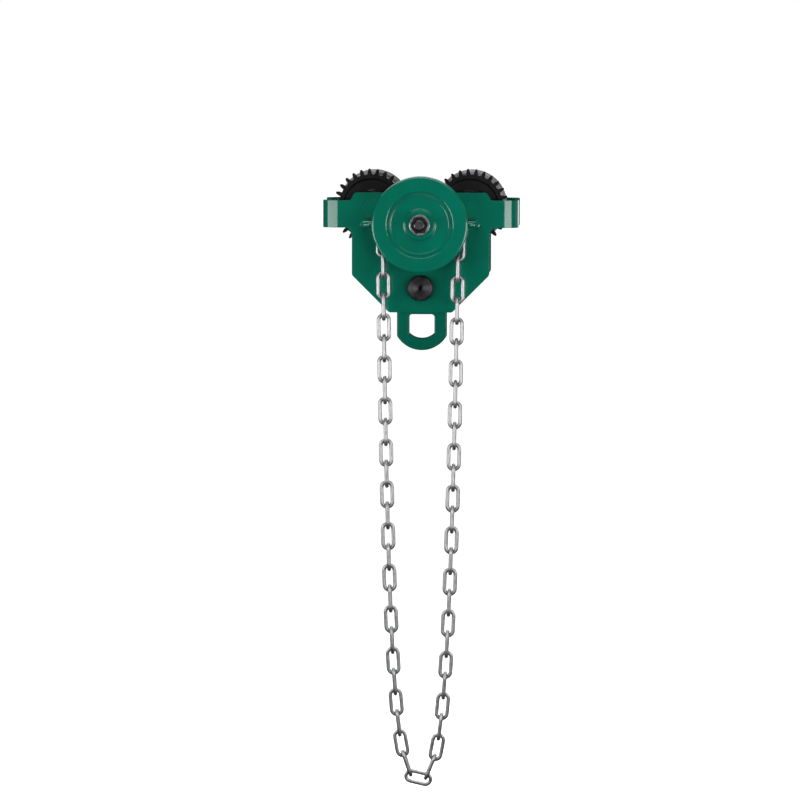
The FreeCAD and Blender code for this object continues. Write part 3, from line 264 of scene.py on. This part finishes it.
def black_oxide():
    """Blackened steel that still shows the lathe's rings round the hanger shaft's axis."""
    s = Shader("black_oxide", Metallic=1.0)
    centred = s.node("ShaderNodeVectorMath", operation="SUBTRACT")
    centred.inputs[1].default_value = (0, 0, HANGER_SHAFT_Z)
    s.link(s.place, centred.inputs[0])
    rings = s.node("ShaderNodeTexWave", wave_type="RINGS", rings_direction="Y")
    rings.inputs["Scale"].default_value = 420
    rings.inputs["Distortion"].default_value = 1.2
    s.link(centred.outputs["Vector"], rings.inputs["Vector"])
    cloud = s.noise(220, 5, 0.65)
    tone = s.mix(s.span(cloud, 0.3, 0.7), (0.030, 0.029, 0.031), (0.058, 0.056, 0.060))
    # Painted shade: the blackened steel turns darker still in hollows and corners.
    s.colour(s.mix(s.maths("MULTIPLY", s.hollows(2 * MM), 0.8), tone, (0.006, 0.006, 0.006)))
    s.roughness(s.span(cloud, 0.25, 0.75, 0.30, 0.44))
    s.relief([(rings.outputs["Fac"], 0.8, 0.12 * MM), (cloud, 0.08, 0.2 * MM)], 0.5 * MM)
    return s.material


def bronze():
    """Oiled sintered bronze with fine pores."""
    s = Shader("bronze", Metallic=1.0)
    pores = s.span(s.cells(900), 0.0, 0.25)
    tone = s.mix(s.span(s.noise(200, 4), 0.3, 0.7), (0.40, 0.24, 0.10), (0.56, 0.36, 0.17))
    s.colour(s.mix(pores, (0.12, 0.07, 0.03), tone))
    s.roughness(s.span(s.noise(400, 3), 0.3, 0.7, 0.28, 0.42))
    s.relief([(pores, 0.2, 0.05 * MM)], 0.2 * MM)
    return s.material


def axle_pin_metal():
    """Axle pin: painted over with the plate at its outer end, ground steel elsewhere."""
    s = Shader("axle_pin_metal", Coat_Weight=0.4, Coat_Roughness=0.05)
    painted = s.span(s.depth(), PLATE_INNER_DEPTH - 0.1 * MM, PLATE_INNER_DEPTH + 0.1 * MM)
    steel = s.mix(s.span(s.noise(150, 4), 0.3, 0.7), (0.30, 0.30, 0.31), (0.45, 0.45, 0.46))
    s.colour(s.mix(painted, steel, green_tone(s)))
    s.metal(s.maths("SUBTRACT", 1.0, painted))
    s.roughness(s.span(s.noise(420, 4), 0.2, 0.8, 0.12, 0.20))
    s.relief([(s.noise(260, 3, 0.5), 0.10, 0.3 * MM)], 0.4 * MM)
    return s.material


def zinc_plate():
    return plated("zinc_plate", (0.45, 0.46, 0.48), (0.66, 0.67, 0.69), 0.22, 0.38)


def dark_plate():
    return plated("dark_plate", (0.022, 0.021, 0.023), (0.05, 0.05, 0.053), 0.28, 0.45)


def phosphated():
    return plated("phosphated", (0.035, 0.035, 0.038), (0.07, 0.07, 0.072), 0.38, 0.55)


def bearing_steel():
    return turned_steel("bearing_steel", (0.50, 0.50, 0.51), (0.62, 0.62, 0.63), 0.12, 0.26)


def cage_steel():
    return turned_steel("cage_steel", (0.36, 0.35, 0.33), (0.48, 0.47, 0.44), 0.25, 0.4)


def spacer_steel():
    return turned_steel("spacer_steel", (0.22, 0.22, 0.225), (0.34, 0.34, 0.35), 0.28, 0.45)


def shaft_steel():
    return turned_steel("shaft_steel", (0.09, 0.09, 0.092), (0.15, 0.15, 0.155), 0.24, 0.4)


SLOTS = {
    "green_paint": green_paint,
    "green_paint_pin": axle_pin_metal,
    "black_cast_steel": black_wheel_paint,
    "zinc_chain": zinc_wire,
    "zinc_steel": zinc_plate,
    "dark_steel": dark_plate,
    "spring_steel": phosphated,
    "black_oxide_steel": black_oxide,
    "bearing_steel": bearing_steel,
    "cage_steel": cage_steel,
    "spacer_steel": spacer_steel,
    "shaft_steel": shaft_steel,
    "bronze": bronze,
}


def dress_nodes():
    """Gives every CAD node the material of its slot in the record."""
    made = {}
    for entry in frame["record"]["subparts"]:
        slot = entry["material_slot"]
        if slot not in made:
            made[slot] = SLOTS[slot]()
        piece = frame["nodes"][entry["node"]]
        piece.data.materials.clear()
        piece.data.materials.append(made[slot])


# ---------------------------------------------------------------- stage

FLOOR_SIZE = 60
FLOOR_DROP = 0.12
FLOOR_SUN = 4.0
ROOM = 0.03

# Upright soft boxes at the trolley's height: bearings from -Y towards +X in degrees, distance,
# lowest and highest edge in metres, and radiance
SOFT_BOXES = {
    "box_left": (-15, -84, 1.2, -0.32, 0.04, 4.4),
    "box_right": (14, 61, 1.2, -0.32, 0.04, 5.6),
    "box_rim": (92, 118, 1.2, -0.32, 0.04, 0.3),
    "box_back": (125, 160, 1.4, -0.6, 0.5, 2.0),
}

# Lamps above, aimed down at the trolley: place, width, height and power
HIGH_LAMPS = {
    "box_top": ((0.1, -1.3, 1.5), 2.2, 1.5, 18),
    "box_back_top": ((-0.3, 1.3, 1.5), 2.4, 1.6, 38),
}
HIGH_TARGET = (0, 0, -0.05)


def floor():
    """Large pale floor below the chain, lit evenly by a lamp of its own."""
    low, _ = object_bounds()
    bpy.ops.mesh.primitive_plane_add(size=FLOOR_SIZE, location=(0, 0, low.z - FLOOR_DROP))
    plane = bpy.context.object
    plane.name = "floor"
    plane.visible_diffuse = False
    plane.visible_glossy = False
    s = Shader("pale_floor")
    s.colour(s.mix(s.noise(3, 3), (0.86, 0.86, 0.86), (0.90, 0.90, 0.90)))
    s.principled.inputs["Roughness"].default_value = 0.8
    plane.data.materials.append(s.material)
    plane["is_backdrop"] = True
    lamp = bpy.data.objects.new("floor_light", bpy.data.lights.new("floor_light", "SUN"))
    lamp.data.energy = FLOOR_SUN
    lamp.data.angle = math.radians(60)
    bpy.context.collection.objects.link(lamp)
    only_floor = bpy.data.collections.new("floor_only")
    only_floor.objects.link(plane)
    lamp.light_linking.receiver_collection = only_floor


def area_light(name, place, target, width, height, power):
    """Rectangular lamp aimed at a target, unseen by the camera."""
    data = bpy.data.lights.new(name, "AREA")
    data.shape = "RECTANGLE"
    data.size = width
    data.size_y = height
    data.energy = power
    lamp = bpy.data.objects.new(name, data)
    bpy.context.collection.objects.link(lamp)
    lamp.location = place
    lamp.rotation_euler = (Vector(target) - Vector(place)).to_track_quat("-Z", "Y").to_euler()
    lamp.visible_camera = False


def surround():
    """White backdrop for the camera; the object itself sees a dim grey room."""
    world = bpy.data.worlds.new("surround")
    world.use_nodes = True
    tree = world.node_tree
    room = tree.nodes["Background"]
    room.inputs["Color"].default_value = (1, 1, 1, 1)
    room.inputs["Strength"].default_value = ROOM
    backdrop = tree.nodes.new("ShaderNodeBackground")
    backdrop.inputs["Color"].default_value = (1, 1, 1, 1)
    path = tree.nodes.new("ShaderNodeLightPath")
    mixed = tree.nodes.new("ShaderNodeMixShader")
    tree.links.new(path.outputs["Is Camera Ray"], mixed.inputs["Fac"])
    tree.links.new(room.outputs["Background"], mixed.inputs[1])
    tree.links.new(backdrop.outputs["Background"], mixed.inputs[2])
    tree.links.new(mixed.outputs["Shader"], tree.nodes["World Output"].inputs["Surface"])
    bpy.context.scene.world = world
    bpy.context.scene.view_settings.view_transform = "Standard"


def soft_box(name, start, end, distance, low, high, radiance):
    """Upright soft box seen from the object between two bearings, measured from -Y towards +X."""
    near, far = (Vector((math.sin(bearing), -math.cos(bearing), 0)) * distance
                 for bearing in (math.radians(start), math.radians(end)))
    width, height = (far - near).length, high - low
    centre = (near + far) / 2 + Vector((0, 0, (low + high) / 2))
    power = radiance * math.pi * width * height
    area_light(name, centre, (0, 0, centre.z), width, height, power)


def lights():
    """Soft boxes left and right, a key light above in front, and a fill for the back."""
    for name, box in SOFT_BOXES.items():
        soft_box(name, *box)
    for name, (place, width, height, power) in HIGH_LAMPS.items():
        area_light(name, place, HIGH_TARGET, width, height, power)


# ---------------------------------------------------------------- camera

AZIMUTH = math.radians(1.81)
ELEVATION = math.radians(3.82)
ROLL = math.radians(0.12)
DISTANCE = 6.169
LENS = 241.4
AIM = Vector((-0.0229, -0.080, -0.1861))


def camera():
    """Long lens, a little above the trolley and a little to its right."""
    data = bpy.data.cameras.new("camera")
    data.lens = LENS
    data.sensor_width = 36.0
    data.clip_start = 0.1
    data.clip_end = 100.0
    made = bpy.data.objects.new("camera", data)
    bpy.context.collection.objects.link(made)
    back = Vector((
        math.sin(AZIMUTH) * math.cos(ELEVATION),
        -math.cos(AZIMUTH) * math.cos(ELEVATION),
        math.sin(ELEVATION),
    ))
    turn = (-back).to_track_quat("-Z", "Y").to_matrix().to_4x4()
    made.matrix_world = Matrix.Translation(AIM + back * DISTANCE) @ turn @ Matrix.Rotation(ROLL, 4, "Z")
    bpy.context.scene.camera = made


dress_nodes()
floor()
surround()
lights()
camera()
